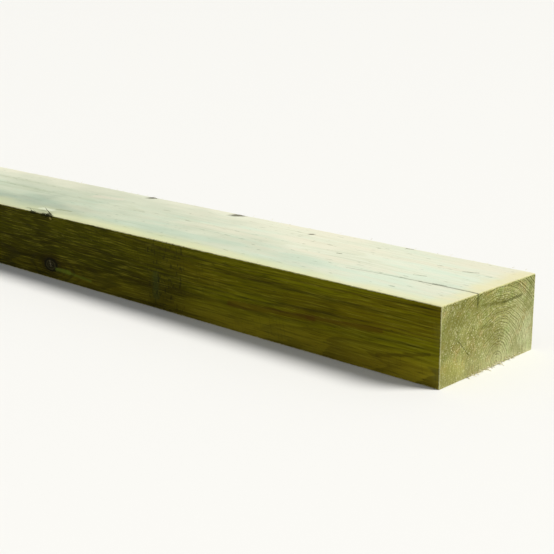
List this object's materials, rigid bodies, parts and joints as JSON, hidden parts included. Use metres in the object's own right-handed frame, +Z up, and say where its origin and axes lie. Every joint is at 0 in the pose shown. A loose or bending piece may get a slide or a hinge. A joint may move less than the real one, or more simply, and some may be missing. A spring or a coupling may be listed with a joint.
{
  "type": "railway sleeper",
  "caption": "Square-edged sawn baulk of pressure-treated softwood, laid flat as a railway or landscaping sleeper, with a drying check in one end.",
  "frame": {"origin": "middle of the bed, the face that the sleeper rests on", "axes": "+X along the length, towards the end with the drying check; +Y across the width; +Z up from the bed to the top"},
  "size_m": [2.4, 0.25, 0.125],
  "materials": {
    "treated_softwood": "rough sawn, green-tinted preservative"
  },
  "bodies": {
    "root": {"sleeper": "treated_softwood"}
  },
  "joints": []
}
